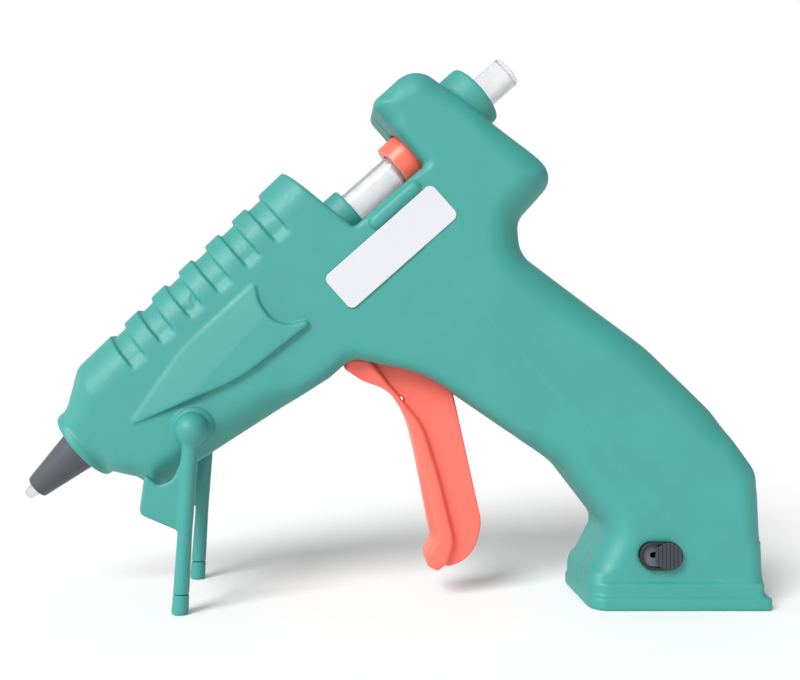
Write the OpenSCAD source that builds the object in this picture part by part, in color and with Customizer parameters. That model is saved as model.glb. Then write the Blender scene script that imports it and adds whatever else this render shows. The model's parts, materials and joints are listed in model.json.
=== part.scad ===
/* [Casing] */
// Angle of the barrel above the table, in degrees
barrel_tilt = 41.5; // [41.3:0.1:41.7]
// Half the width of the moulded casing
body_half_w = 17.6; // [17.4:0.1:17.8]
// Half the width of the foot's flange
foot_half_w = 20.5; // [20:0.5:21.5]
// Thickness of the moulded walls
wall = 2.2; // [2:0.1:2.4]
// Radius of the casing's long outer edges
edge_r = 7; // [6:0.5:8]

/* [Glue stick] */
// Diameter of the glue stick
stick_d = 11.2; // [10.9:0.1:11.3]
// Length of the glue stick
stick_len = 120; // [118:1:122]

/* [Trigger] */
// Half the width of the finger band
band_half_w = 8; // [7:0.5:8]
// Half the width of the web behind the band
web_half_w = 4; // [3.5:0.5:4]
// Distance from the trigger's pivot to its drive pin
drive_arm = 17; // [16.8:0.1:17.2]

/* [Stand] */
// Length of a leg, from its ball to the table
leg_drop = 59.4; // [59.2:0.1:59.6]
// Diameter of a leg
leg_d = 5.8; // [5.4:0.2:5.8]
// Distance from the middle plane to a leg's centre
leg_y = 22.8; // [22.8:0.2:23.4]

/* [Hidden] */
$fn = 48;
slip = 0.08;      // radial play of a pin that turns
free = 0.5;       // play between parts that pass each other
cut = 1;          // how far a cutter runs past the face it opens

// The barrel's own frame: X runs back along its axis, Z is up from the axis.
axis_x = -14.5;
axis_z = 130.7;
along = [cos(barrel_tilt), sin(barrel_tilt)];
across = [-sin(barrel_tilt), cos(barrel_tilt)];

// Stations along the barrel's axis
tip_s = -145.3;
cover_s = -141.2;
nose_s = -120;
chamber_front_s = -110;
chamber_rear_s = -46;
hump_front_s = 30;
window_floor_n = -6.2;
sleeve_front_s = 23.8;
collar_s = 62;
stick_rear_s = 75;
bracket_stations = [-97.6, -59.6];
bracket_t = 1.4;
bracket_top_n = 10.6;

// Radii about the barrel's axis
nose_r = 13;
cover_r = 7.6;
chamber_r = 9;
collar_r = 11.2;
collar_lift = 1.2;
sleeve_r = 9.2;
stick_r = stick_d / 2;
guide_r = stick_r + free;

// Inside of the casing
cavity_half_w = body_half_w - wall;
foot_ridge_z = 7.6;
foot_front_x = 66.2;
foot_rear_x = 124.6;

// Trigger pivot, in X and Z, and its pins
pivot = [-11.6, 87.6];
pin_r = 2;
drive_point = pivot + drive_arm * across;
arm_inner_y = 4.6;
arm_outer_y = 7.6;
hub_r = 4.1;
hub_end_r = 3.4;
hub_half_w = 8;
boss_inner_y = 12.4;

// Carriage rods beside the arms
rod_inner_y = 8.6;
rod_outer_y = 11.2;
rod_half_h = 2.4;
rod_n = (drive_point - [axis_x, axis_z]) * across;
eye_s = (drive_point - [axis_x, axis_z]) * along;
block_front_s = 38;
block_rear_s = 47.3;

// Pin of the jaw that bites the stick
jaw_point = on_barrel(44.4, -13);
jaw_pin_r = 1.5;

// Grip slots over the barrel
slot_count = 6;
slot_first_s = -21.5;
slot_pitch = 12.5;
slot_w = 6;
slot_depth = 0.9;
slot_foot_n = 8;

// Stand
ball_point = [-64.1, leg_drop];
ball_r = 5.6;
ball_y = 21.8;
leg_lean = 3.65;
stub_r = 2.5;
tip_h = 7;
side_gap = 0.3;
stand_boss_y = leg_y - leg_d / 2 - free;

// Switch and power inlet, in X and Z
switch_point = [88.4, 17.8];
switch_y = -18.9;
switch_travel = 4.5;
knob_r = 4.6;
inlet_z = 15;
contact_gap = 8.6;
contact_r = 1.18;
contact_free = 8.5;

// Screws, in X and Z
screw_r = 1.5;
head_r = 2.9;
boss_r = 4.3;
screw_head_y = 12.4;
screw_points = [
    on_barrel(-104, -20), on_barrel(-60, 15.4), [-35, 74], [40, 100],
    on_barrel(44, 14.6), [98, 56], [72.2, 5.4]
];

function flat(v) = [v[0], v[1]];
function unit(v) = v / norm(v);
function on_barrel(s, n) = [axis_x, axis_z] + s * along + n * across;
function rounded_on_barrel(s, n, r) = [on_barrel(s, n)[0], on_barrel(s, n)[1], r];

// The points of one corner [x, y, radius], rounded by an arc
function corner_points(before, corner, after, steps) =
    let (
        p = flat(corner),
        u = unit(flat(before) - p),
        v = unit(flat(after) - p),
        half = acos(u * v) / 2,
        centre = p + unit(u + v) * corner[2] / sin(half),
        start = p + u * corner[2] / tan(half) - centre,
        stop = p + v * corner[2] / tan(half) - centre,
        first = atan2(start[1], start[0]),
        turn = (atan2(stop[1], stop[0]) - first + 540) % 360 - 180
    )
    [for (k = [0:steps]) centre + corner[2] * [cos(first + turn * k / steps), sin(first + turn * k / steps)]];

// A closed outline from a list of corners [x, y, radius]
function rounded(corners, steps = 5) =
    let (n = len(corners))
    [for (i = [0:n - 1])
        each corners[i][2] == 0
            ? [flat(corners[i])]
            : corner_points(corners[(i + n - 1) % n], corners[i], corners[(i + 1) % n], steps)];

// The side view of the whole casing, from the nose over the top
casing_corners = [
    rounded_on_barrel(-117, 12.8, 1), rounded_on_barrel(-112.5, 15.2, 4), rounded_on_barrel(-103, 21.2, 12),
    rounded_on_barrel(-22, 24.2, 0), rounded_on_barrel(-6.5, 24.8, 1.5), [-11.6, 125.2, 1.2],
    rounded_on_barrel(4, window_floor_n, 3), rounded_on_barrel(hump_front_s, window_floor_n, 1),
    rounded_on_barrel(hump_front_s, 21.2, 3), rounded_on_barrel(50.5, 21.6, 9),
    [57.8, 143.5, 7], [44, 128, 7], [45, 117, 10], [87.3, 85.4, 60], [109.1, 64, 30], [foot_rear_x, 44, 9],
    [foot_rear_x, 0, 0.6], [foot_front_x, 0, 0.6], [foot_front_x, 11, 5], [73.6, 25.5, 6],
    [58, 45.5, 22],
    [12, 77, 40], [-12, 82, 6], [-19.5, 75.4, 1], [-77.8, 38, 2.5], [-84, 42, 3],
    rounded_on_barrel(-117, -12.8, 1)
];

// The front view of the flared foot: [half width, height]
foot_profile = [
    [foot_half_w, 0], [foot_half_w, foot_ridge_z - 1], [foot_half_w - 1, foot_ridge_z], [body_half_w, 42]
];

// Raised leaf where the round barrel leaves the flat side
leaf_corners = [
    rounded_on_barrel(-101, -6, 1), rounded_on_barrel(-62, -18.8, 60), rounded_on_barrel(-29, -20.6, 1),
    rounded_on_barrel(-42.5, -14.5, 9), rounded_on_barrel(-41, -4, 8), rounded_on_barrel(-37.6, 2, 1),
    rounded_on_barrel(-70, 1.5, 60)
];
leaf_half_w = body_half_w + 1.2;

// Label plate, centred on the near side under the window
label_size = [47, 14];
label_centre = on_barrel(3.3, -19.1);
label_t = 0.4;

/* Shared shapes */

module along_barrel() {
    translate([axis_x, 0, axis_z]) rotate([0, -barrel_tilt, 0]) children();
}

// A solid turned about the barrel's axis, from points [station, radius]
module turned(points) {
    along_barrel() rotate([0, 90, 0]) rotate_extrude() polygon([for (p = points) [p[1], p[0]]]);
}

module barrel_rod(from_s, to_s, r) {
    along_barrel() translate([from_s, 0, 0]) rotate([0, 90, 0]) cylinder(r = r, h = to_s - from_s);
}

module barrel_box(s, y, n) {
    along_barrel() translate([s[0], y[0], n[0]]) cube([s[1] - s[0], y[1] - y[0], n[1] - n[0]]);
}

// A side view given thickness across the gun, between two Y values
module slab(y0, y1) {
    translate([0, y1, 0]) rotate([90, 0, 0]) linear_extrude(y1 - y0) children();
}

// A round bar across the gun
module cross_bar(point, r, y0, y1) {
    translate([point[0], y1, point[1]]) rotate([90, 0, 0]) cylinder(r = r, h = y1 - y0);
}

// A flat bar with round ends, in the side view
module link_2d(p, q, r) {
    translate(p) circle(r);
    translate(q) circle(r);
    translate(p) rotate(atan2(q[1] - p[1], q[0] - p[0])) translate([0, -r]) square([norm(q - p), 2 * r]);
}

module both_sides() {
    children();
    mirror([0, 1, 0]) children();
}

// A side view thickened to a cushion shape, with rounded long edges, on one side of the middle
module half_cushion(half_w, r, inset) {
    steps = 5;
    for (k = [0:steps - 1]) {
        lift = sin(90 * (k + 1) / steps);
        shrink = 1 - cos(90 * k / steps);
        slab(-(half_w - r + r * lift), 0) offset(delta = -inset - r * shrink) children();
    }
}

/* Casing */

module casing_side_view() {
    polygon(rounded(casing_corners));
}

module foot_flare(inset) {
    floor_z = inset;
    corners = [for (p = foot_profile) [p[0] - inset, max(p[1], floor_z)]];
    intersection() {
        slab(-foot_half_w, 0) offset(delta = -inset) casing_side_view();
        rotate([90, 0, 90]) linear_extrude(foot_rear_x + cut)
            polygon(concat([[0, corners[0][1]]], [for (c = corners) [-c[0], c[1]]], [[0, corners[3][1]]]));
    }
}

module casing_outside() {
    half_cushion(body_half_w, edge_r, 0) casing_side_view();
    foot_flare(0);
    slab(-leaf_half_w, 0) polygon(rounded(leaf_corners));
    turned([[nose_s, 0], [nose_s, nose_r - 0.8], [nose_s + 0.8, nose_r], [-113, nose_r], [-113, 0]]);
    barrel_rod(-12, 3.4, 8.2);
    rear_collar(50);
    cross_bar(ball_point, ball_r, -stand_boss_y, 0);
    window_bead();
    slab(-body_half_w, 0) label_outline(0.6);
}

// Collar round the stick behind the hump, set a little above the stick's axis
module rear_collar(from_s) {
    translate(collar_lift * [across[0], 0, across[1]]) barrel_rod(from_s, collar_s, collar_r);
}

// Rounded bead along the lower edge of the feed window
module window_bead() {
    slab(-body_half_w - 1, -12.5) link_2d(on_barrel(5, -9.7), on_barrel(21.9, -9.7), 2.2);
}

module casing_cavity() {
    half_cushion(cavity_half_w, edge_r - wall, wall) casing_side_view();
    foot_flare(wall);
}

// Walls and bosses that stand inside the shell
module casing_inside() {
    intersection() {
        slab(-cavity_half_w - 0.5, 0) offset(delta = -wall / 2) casing_side_view();
        union() {
            for (p = screw_points) cross_bar(p, boss_r, -body_half_w, 0);
            cross_bar(pivot, 4.4, -body_half_w, -boss_inner_y);
            cross_bar(ball_point, ball_r, -body_half_w, -13);
            for (s = bracket_stations) barrel_box([s, s + 1.6], [-body_half_w, 0], [-12, 20]);
            barrel_box([2, 46], [-body_half_w, -9], [rod_n - rod_half_h - 2, rod_n - rod_half_h - 0.3]);
            barrel_rod(-12, 1, 8.2);
            rear_collar(48);
        }
    }
    turned([[nose_s + 1.5, 0], [nose_s + 1.5, nose_r], [-114.5, nose_r], [-114.5, 0]]);
}

// Everything that is opened in both halves
module casing_openings() {
    barrel_rod(nose_s - cut, nose_s + 2, cover_r + 0.05);
    barrel_rod(nose_s + 1.5, -113.5, 9.6);
    barrel_rod(-101, -50, 10.6);
    barrel_rod(-20, 6, guide_r);
    barrel_rod(hump_front_s - 3, hump_front_s + 6, sleeve_r + free);
    barrel_rod(46, collar_s + cut, guide_r);
    barrel_box([18.5, hump_front_s + 1], [-7.4, 0], [-sleeve_r - free, 0]);
    slab(-(web_half_w + 0.9), 0) polygon([[-19, 72], [44, 46], [37, 74], [-16, 90]]);
    slab(-(band_half_w + 0.9), 0) polygon([[-20, 72], [4, 70], [2, 84], [-17, 90]]);
    inlet_hole();
    cross_bar(ball_point, stub_r + slip, -leg_y, -14);
    cross_bar(pivot, pin_r, -15, 0);
    slots();
}

// Shallow grip slots across the top of the barrel
module slots() {
    difference() {
        for (k = [0:slot_count - 1])
            barrel_box(
                [slot_first_s - slot_pitch * k - slot_w / 2, slot_first_s - slot_pitch * k + slot_w / 2],
                [-body_half_w - cut, 0], [slot_foot_n, 30]
            );
        half_cushion(body_half_w - slot_depth, edge_r - slot_depth, slot_depth) casing_side_view();
    }
}

module inlet_hole() {
    translate([foot_rear_x - 6, -10.1, inlet_z - 5.6]) cube([12, 10.1, 11.2]);
}

module casing_half() {
    difference() {
        union() {
            difference() {
                casing_outside();
                casing_cavity();
            }
            casing_inside();
        }
        casing_openings();
        translate([-150, 0, -cut]) cube([300, 60, 200]);
    }
}

module left_casing() {
    color("#5AB2A6") difference() {
        casing_half();
        for (p = screw_points) cross_bar(p, screw_r, -13, cut);
        slab(-foot_half_w, -10) stadium(switch_point, 13.2, 8.4);
    }
}

module right_casing() {
    color("#5AB2A6") difference() {
        mirror([0, 1, 0]) casing_half();
        for (p = screw_points) {
            cross_bar(p, screw_r + 0.2, -cut, 20);
            cross_bar(p, head_r + 0.4, screw_head_y, 22);
        }
    }
}

module casing_screws() {
    color("silver") for (p = screw_points) difference() {
        union() {
            cross_bar(p, screw_r, -11, screw_head_y);
            cross_bar(p, head_r, screw_head_y, screw_head_y + 2);
        }
        for (turn = [0, 90])
            translate([p[0], screw_head_y + 2, p[1]]) rotate([0, turn, 0]) cube([3.4, 2, 0.8], center = true);
    }
}

module label_outline(extra) {
    translate(label_centre) rotate(barrel_tilt)
        polygon(rounded([for (c = [[-1, -1], [1, -1], [1, 1], [-1, 1]])
            [c[0] * (label_size[0] / 2 + extra), c[1] * (label_size[1] / 2 + extra), 2.2]]));
}

module label_plate() {
    color("#F0ECF5") slab(-body_half_w - label_t, -body_half_w) label_outline(0);
}

/* Hot end */

module nozzle_cover() {
    color("#3E3E46") turned([
        [cover_s, 2.9], [cover_s, 4.1], [nose_s, cover_r], [nose_s + 2.1, cover_r], [nose_s + 2.1, 9.3],
        [nose_s + 4.3, 9.3], [nose_s + 4.3, 6.7], [nose_s + 0.6, 6.7], [nose_s - 1, 5]
    ]);
}

module nozzle_tip() {
    color("#C8CCD2") difference() {
        union() {
            turned([[tip_s, 0], [tip_s, 1.7], [cover_s, 2.6], [nose_s - 1, 4.6], [nose_s - 1, 0]]);
            along_barrel() translate([nose_s - 1, 0, 0]) rotate([0, 90, 0]) cylinder(r = 4.6, h = 2);
            along_barrel() translate([nose_s + 0.8, 0, 0]) rotate([0, 90, 0]) cylinder(r = 6.4, h = 5, $fn = 6);
            barrel_rod(nose_s + 5, chamber_front_s + 7, 3);
        }
        barrel_rod(tip_s - cut, -132, 0.8);
        barrel_rod(-133, chamber_front_s + 8, 1.6);
    }
}

module melt_chamber() {
    color("#A7ABB0") difference() {
        union() {
            barrel_rod(chamber_front_s, chamber_rear_s - 8, chamber_r);
            barrel_rod(chamber_rear_s - 9, chamber_rear_s, 7.4);
            barrel_box([-92, -63], [-8.4, 8.4], [-18.6, -4]);
        }
        turned([
            [chamber_front_s - cut, 0], [chamber_front_s - cut, 3.02], [-102, 3.02], [-98, guide_r],
            [chamber_rear_s + cut, guide_r], [chamber_rear_s + cut, 0]
        ]);
        barrel_box([-90, -65], [-9, 9], [-16, -11.2]);
    }
}

module chamber_brackets() {
    color("#D8D4C8") for (s = bracket_stations) difference() {
        barrel_rod(s - bracket_t, s, 12.6);
        barrel_rod(s - 3, s + cut, chamber_r + 0.05);
        barrel_box([s - 3, s + cut], [-8.6, 8.6], [-19, 0]);
        barrel_box([s - 3, s + cut], [-20, 20], [bracket_top_n, 20]);
    }
}

module heater() {
    color("#8A5A44") barrel_box([-89.5, -65.5], [-8, 8], [-15.9, -11.3]);
}

module heater_clip() {
    color("#B9BDC2") difference() {
        barrel_box([-84, -71], [-10, 10], [-19.6, 3]);
        barrel_box([-85, -70], [-9.2, 9.2], [-18.7, 4]);
    }
}

module inlet_sleeve() {
    rear = -24;
    color("#C8432F") turned([
        [chamber_rear_s - 7.6, 7.42], [chamber_rear_s + 0.1, 7.42], [chamber_rear_s + 0.1, guide_r],
        [rear, guide_r], [rear, 8], [rear + 1.4, 8], [rear + 1.4, 9.6], [rear - 2, 9.6], [rear - 2, 9],
        [chamber_rear_s - 7.6, 9]
    ]);
}

/* Power: inlet, switch, fuse and leads */

// A rounded slot shape, centred on a point of the side view
module stadium(centre, length, height) {
    reach = (length - height) / 2;
    link_2d(centre - [reach, 0], centre + [reach, 0], height / 2);
}

module power_inlet() {
    depth = 20;
    color("#2E2E36") difference() {
        union() {
            translate([foot_rear_x - depth, -10, inlet_z - 5.5]) cube([depth + 0.2, 20, 11]);
            translate([foot_rear_x - 5, -11.5, inlet_z - 7]) cube([2.6, 23, 14]);
        }
        translate([foot_rear_x - 12, 0, inlet_z]) rotate([90, 0, 90]) linear_extrude(14)
            stadium([0, 0], 16.4, 8);
        contacts();
    }
}

// The two contacts: a round pin each, on a thinner root that runs through the inlet
module contacts() {
    for (side = [-1, 1])
        translate([foot_rear_x - 3, side * contact_gap / 2, inlet_z]) rotate([0, -90, 0]) {
            cylinder(r = contact_r, h = contact_free);
            cylinder(r = contact_r - 0.2, h = 20);
        }
}

module inlet_pins() {
    color("#D9C48A") contacts();
}

module switch_bezel() {
    color("#2B2C33") difference() {
        slab(switch_y - 1, switch_y + 3.4) stadium(switch_point, 13, 8.2);
        slab(switch_y - 2, switch_y + 4) stadium(switch_point, 11.8, 7);
    }
    color("#2B2C33") difference() {
        slab(switch_y - 1, switch_y - 0.45) stadium(switch_point, 14.6, 9.8);
        slab(switch_y - 2, switch_y + 4) stadium(switch_point, 11.8, 7);
    }
}

module switch_housing() {
    front_y = switch_y + 4.4;
    color("#3A3B42") difference() {
        translate([switch_point[0] - 9.5, front_y, switch_point[1] - 6]) cube([19, 8, 12]);
        slab(front_y - cut, front_y + 3) stadium(switch_point, 14.4, 6.2);
    }
    for (side = [-1, 1])
        color("#D9C48A") translate([switch_point[0] + side * 6 - 1.5, front_y + 8, switch_point[1] - 0.4])
            cube([3, 3, 0.8]);
}

module switch_knob() {
    top_y = switch_y - 1.8;
    centre = switch_point + [switch_travel / 2, 0];
    color("#3A3B42") {
        slab(switch_y + 0.2, switch_y + 6.6) translate(centre) square([5, 5], center = true);
        difference() {
            slab(top_y, switch_y - 1.3) translate(centre) circle(knob_r);
            for (k = [-3:3])
                translate([centre[0] + k * 1.15 - 0.25, top_y - cut, centre[1] - 6]) cube([0.5, cut + 0.3, 12]);
        }
        slab(switch_y - 1.4, switch_y + 0.3) translate(centre) circle(3);
    }
}

module thermal_fuse() {
    color("#C9CDD3") translate([2, -13, 94]) rotate([0, 90, 0]) cylinder(r = 1.9, h = 12);
}

// A smooth curve through the points of a route
function curve_point(route, i, t) =
    let (
        a = route[max(i - 1, 0)], b = route[i], c = route[i + 1], d = route[min(i + 2, len(route) - 1)]
    )
    0.5 * (2 * b + t * (c - a) + t * t * (2 * a - 5 * b + 4 * c - d) + t * t * t * (3 * b - a - 3 * c + d));

function smooth(route, steps = 3) =
    [for (i = [0:len(route) - 2]) for (k = [0:steps - 1]) curve_point(route, i, k / steps), route[len(route) - 1]];

// A round lead swept along its route, with flat ends
module lead(route, r = 1) {
    sides = 8;
    path = smooth(route);
    last = len(path) - 1;
    function heading(i) = unit(path[min(i + 1, last)] - path[max(i - 1, 0)]);
    function ring(i) =
        let (ahead = heading(i), side = unit(cross(ahead, [0.1, 1, 0.2])), up = cross(side, ahead))
        [for (k = [0:sides - 1]) path[i] + r * (cos(360 * k / sides) * side + sin(360 * k / sides) * up)];
    points = [for (i = [0:last]) each ring(i)];
    walls = [for (i = [0:last - 1]) for (k = [0:sides - 1])
        let (next = (k + 1) % sides)
        [i * sides + k, i * sides + next, (i + 1) * sides + next, (i + 1) * sides + k]];
    caps = [[for (k = [0:sides - 1]) sides - 1 - k], [for (k = [0:sides - 1]) last * sides + k]];
    polyhedron(points, concat(walls, caps), convexity = 4);
}

inlet_end_x = foot_rear_x - 23.2;
switch_back_y = switch_y + 15.6;

// The last stretch of a lead, which turns in to the heater's side
heater_terminal = on_barrel(-67.5, -13.6);
function heater_entry(side) = [
    for (step = [[2.8, 13.9], [0.5, 12.3], [0, 10.2], [0, 8.1]])
        [heater_terminal[0] + step[0], side * step[1], heater_terminal[1] + step[0] / 4]
];

module lead_to_switch() {
    color("#6B3F2A") lead([
        [inlet_end_x, -contact_gap / 2, inlet_z], [100.3, -4.35, 15.1], [98.7, -4.9, 17.2],
        [97.4, -5, switch_point[1]], [switch_point[0] + 7.7, -5, switch_point[1]]
    ]);
}

module lead_to_fuse() {
    color("#6B3F2A") lead([
        [switch_point[0] - 6, switch_back_y, switch_point[1] + 0.9], [84, -5, 27], [84, -10, 40], [76, -12.6, 58],
        [62, -13, 76], [44, -13, 87], [28, -13, 93], [14.2, -13, 94]
    ]);
}

module lead_to_heater() {
    color("#6B3F2A") lead([
        [1.8, -13, 94], [-8, -13, 94.5], [-22, -13, 90], [-36, -13, 83], [-48, -13.6, 78],
        each heater_entry(-1)
    ]);
}

module lead_neutral() {
    color("#3C5F9A") lead([
        [inlet_end_x, contact_gap / 2, inlet_z], [96, 6, 17], [90, 10, 32], [77, 12.6, 58],
        [62, 13, 76], [44, 13, 87], [28, 13, 93], [4, 13, 94.5], [-18, 13, 91.5], [-36, 13, 83],
        [-48, 13.6, 78], each heater_entry(1)
    ]);
}

/* Trigger and feed */

band_corners = [
    [-14.4, 82.5, 1.5], [-14.6, 78.2, 2], [-8.2, 74, 12], [0.8, 71, 14], [6.8, 61.5, 30], [16.9, 22, 5],
    [13.2, 15.5, 3], [13.6, 11.5, 1.5], [17, 9.7, 1.2], [20.5, 12.2, 3], [22.9, 20, 6], [17.5, 42, 60],
    [12, 59.5, 20], [0.4, 73.4, 14], [-6, 82, 2]
];
web_corners = [
    [6, 68, 1], [17, 12, 1], [21, 10.6, 1], [29.4, 13, 12], [32.6, 25.4, 14], [22.7, 70, 0],
    [20, 82, 4], [-8, 89, 4], [-14, 80, 2]
];

module trigger() {
    color("#FA7864") difference() {
        union() {
            slab(-band_half_w, band_half_w) polygon(rounded(band_corners));
            slab(-web_half_w, web_half_w) polygon(rounded(web_corners));
            cross_bar(pivot, hub_r, -hub_half_w, hub_half_w);
            cross_bar(pivot, hub_end_r, -boss_inner_y + free, 0);
            both_sides() slab(-arm_outer_y, -arm_inner_y) link_2d(pivot, drive_point, 3.6);
            barrel_box([-28.5, -24], [-arm_inner_y - cut, arm_inner_y + cut], [-32, -24]);
        }
        cross_bar(pivot, pin_r + slip, -20, 20);
        cross_bar(drive_point, pin_r, -20, 20);
    }
}

module drive_pin() {
    color("silver") cross_bar(drive_point, pin_r, -rod_outer_y - 0.5, rod_outer_y + 0.5);
}

module trigger_pin() {
    color("silver") cross_bar(pivot, pin_r, -14.8, 14.8);
}

// Torsion spring beside the hub: turns of wire round the pin, and a leg out to each side
module trigger_spring() {
    wire_r = 0.5;
    coil_r = 3.4;
    first_y = arm_outer_y + 1.1;
    turns = 4;
    pitch = 1.96 * wire_r;
    leg = 9;
    color("silver") {
        for (k = [0:turns - 1])
            translate([pivot[0], first_y + k * pitch, pivot[1]]) rotate([90, 0, 0])
                rotate_extrude() translate([coil_r, 0]) circle(wire_r, $fn = 16);
        translate([pivot[0] - coil_r - leg, first_y + (turns - 1) * pitch, pivot[1]]) rotate([0, 90, 0])
            cylinder(r = wire_r * 0.9, h = leg, $fn = 16);
        translate([pivot[0] + coil_r, first_y, pivot[1]]) rotate([0, 90, 0])
            cylinder(r = wire_r * 0.9, h = leg / 2, $fn = 16);
    }
}

module feed_carriage() {
    color("#F5703C") difference() {
        union() {
            barrel_rod(sleeve_front_s, block_rear_s, sleeve_r);
            barrel_box([block_front_s, block_rear_s], [-rod_outer_y, rod_outer_y], [rod_n - rod_half_h, 5]);
            both_sides() {
                barrel_box(
                    [eye_s, block_rear_s], [-rod_outer_y, -rod_inner_y], [rod_n - rod_half_h, rod_n + rod_half_h]
                );
                barrel_box([eye_s - 5, eye_s + 5], [-rod_outer_y, -rod_inner_y], [rod_n - 4.6, rod_n + 4.6]);
            }
        }
        barrel_rod(sleeve_front_s - cut, block_rear_s + cut, guide_r);
        both_sides()
            barrel_box([eye_s - pin_r - 0.3, eye_s + pin_r + 0.3], [-20, -5], [rod_n - 3, rod_n + 2.6]);
        barrel_box([block_front_s - cut, block_rear_s - 0.9], [-5, 5], [rod_n - 4, 0]);
        cross_bar(jaw_point, jaw_pin_r, -20, 20);
    }
}

module jaw_pin() {
    color("silver") cross_bar(jaw_point, jaw_pin_r, -rod_outer_y, rod_outer_y);
}

// Toothed rocker that bites the stick when the carriage is driven
module grip_jaw() {
    color("#B9BDC2") difference() {
        slab(-4.4, 4.4) polygon([
            on_barrel(38.5, -9), on_barrel(38.9, -6.7), on_barrel(39.8, -8), on_barrel(40.8, -6.9),
            on_barrel(41.6, -8.4), on_barrel(45.6, -9.8), on_barrel(45.9, -15.4), on_barrel(41, -16)
        ]);
        cross_bar(jaw_point, jaw_pin_r + slip, -20, 20);
    }
}

module glue_stick() {
    color("#F2F2EC") barrel_rod(stick_rear_s - stick_len, stick_rear_s, stick_r);
}

/* Stand */

leg_foot = ball_point - [leg_lean, leg_drop];
leg_angle = atan2(leg_lean, leg_drop);

fin_corners = [
    [-64.8, 54.5, 1], [-70, 43.2, 5], [-74.6, 41.4, 2.5], [-79, 45.3, 0.8], [-80.8, 32.2, 2.5],
    [-68.2, 26.9, 2], [-66, 27.5, 0]
];

module leg_shape(z0, z1) {
    intersection() {
        translate([leg_foot[0], -leg_y, 0]) rotate([0, leg_angle, 0])
            translate([0, 0, -cut]) cylinder(d = leg_d, h = leg_drop + cut);
        translate([leg_foot[0] - 20, -leg_y - 10, z0]) cube([40, 20, z1 - z0]);
    }
}

// The ball at the top of the near leg, cut flat beside the casing's boss
module flattened_ball() {
    difference() {
        translate([ball_point[0], -ball_y, ball_point[1]]) sphere(ball_r);
        slab(-stand_boss_y - side_gap, 0) translate(ball_point) square(3 * ball_r, center = true);
    }
}

module stand_bail() {
    color("#5AB2A6") {
        both_sides() {
            leg_shape(tip_h, leg_drop);
            flattened_ball();
            cross_bar(ball_point, stub_r, -ball_y, -15);
            slab(-leg_y - 1.6, -leg_y + 1.6) polygon(rounded(fin_corners));
        }
        slab(-leg_y, leg_y) polygon([[-80.4, 33.2], [-78.1, 32.2], [-77.7, 37.2], [-79.8, 37.4]]);
    }
}

module stand_feet() {
    color("#63B8AC") both_sides() leg_shape(0, tip_h);
}

left_casing();
right_casing();
casing_screws();
label_plate();
nozzle_cover();
nozzle_tip();
melt_chamber();
chamber_brackets();
heater();
heater_clip();
inlet_sleeve();
thermal_fuse();
lead_to_switch();
lead_to_fuse();
lead_to_heater();
lead_neutral();
power_inlet();
inlet_pins();
switch_bezel();
switch_housing();
switch_knob();
trigger_pin();
trigger_spring();
trigger();
drive_pin();
feed_carriage();
jaw_pin();
grip_jaw();
glue_stick();
stand_bail();
stand_feet();
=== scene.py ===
import json
import math

import bmesh
import bpy
import numpy as np
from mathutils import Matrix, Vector


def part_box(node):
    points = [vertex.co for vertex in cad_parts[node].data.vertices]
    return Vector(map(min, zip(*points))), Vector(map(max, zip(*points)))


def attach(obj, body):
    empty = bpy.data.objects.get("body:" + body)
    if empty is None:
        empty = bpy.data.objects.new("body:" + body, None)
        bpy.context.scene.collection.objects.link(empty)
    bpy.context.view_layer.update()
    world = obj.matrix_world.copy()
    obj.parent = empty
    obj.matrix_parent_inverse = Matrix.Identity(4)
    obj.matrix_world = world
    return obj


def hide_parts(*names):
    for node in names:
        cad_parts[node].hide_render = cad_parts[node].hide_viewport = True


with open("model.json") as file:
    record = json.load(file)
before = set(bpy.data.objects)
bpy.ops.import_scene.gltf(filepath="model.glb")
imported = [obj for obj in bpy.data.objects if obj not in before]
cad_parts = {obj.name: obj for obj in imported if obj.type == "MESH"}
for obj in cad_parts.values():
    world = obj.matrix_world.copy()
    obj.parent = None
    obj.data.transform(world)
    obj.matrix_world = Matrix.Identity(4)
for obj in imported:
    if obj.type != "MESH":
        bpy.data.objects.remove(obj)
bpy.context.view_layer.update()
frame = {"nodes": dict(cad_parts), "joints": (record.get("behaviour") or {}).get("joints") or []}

# Lengths are in millimetres, and become metres when a mesh is made.
MM = 0.001
JOINTS = {joint["name"]: joint for joint in frame["joints"]}


def centre_of(node):
    """Middle of a CAD node's box, in millimetres."""
    low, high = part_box(node)
    return np.array((low + high) / 2) / MM


# The barrel's own frame: S runs back along its axis from the window, N is up from the axis.
STICK_LENGTH = 120.0
STICK_REAR_S = 75.0
ALONG = -np.array(JOINTS["carriage_feed"]["axis"], float)
ACROSS = np.array([-ALONG[2], 0.0, ALONG[0]])
AXIS_POINT = centre_of("glue_stick") - ALONG * (STICK_REAR_S - STICK_LENGTH / 2)
PIVOT = np.array(JOINTS["trigger_pull"]["pos_m"]) / MM
STAND_PIVOT = np.array(JOINTS["stand_fold"]["pos_m"]) / MM
SWITCH_X = centre_of("switch_bezel")[0]
SWITCH_Z = centre_of("switch_bezel")[2]

# Casing
BODY_HALF_W = 17.6
WALL = 2.2
NOSE_S = -120.0
NOSE_R = 13.0
TIP_S = -145.3
COVER_S = -141.2
FOOT_HALF_W = 20.5
RIDGE_HALF_W = 19.2
FOOT_FRONT_X = 65.6
FOOT_REAR_X = 124.8
BACK_X = 123.7
STICK_R = 5.6
COLLAR_LIFT = 1.2
GUIDE_R = 6.1
GUIDE_OUTER_R = 8.2
COLLAR_R = 11.2
STAND_STEM_R = 5.6
SLOT_FIRST_S = -21.0
SLOT_PITCH = 12.5
SLOT_COUNT = 6
SLOT_HALF = 3.0
SLOT_DEPTH = 1.5
SLOT_FOOT_N = 6.2
SLOT_RAMP = 3.4
PARTING_GAP = 0.03


# ---------------------------------------------------------------- outlines


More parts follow.
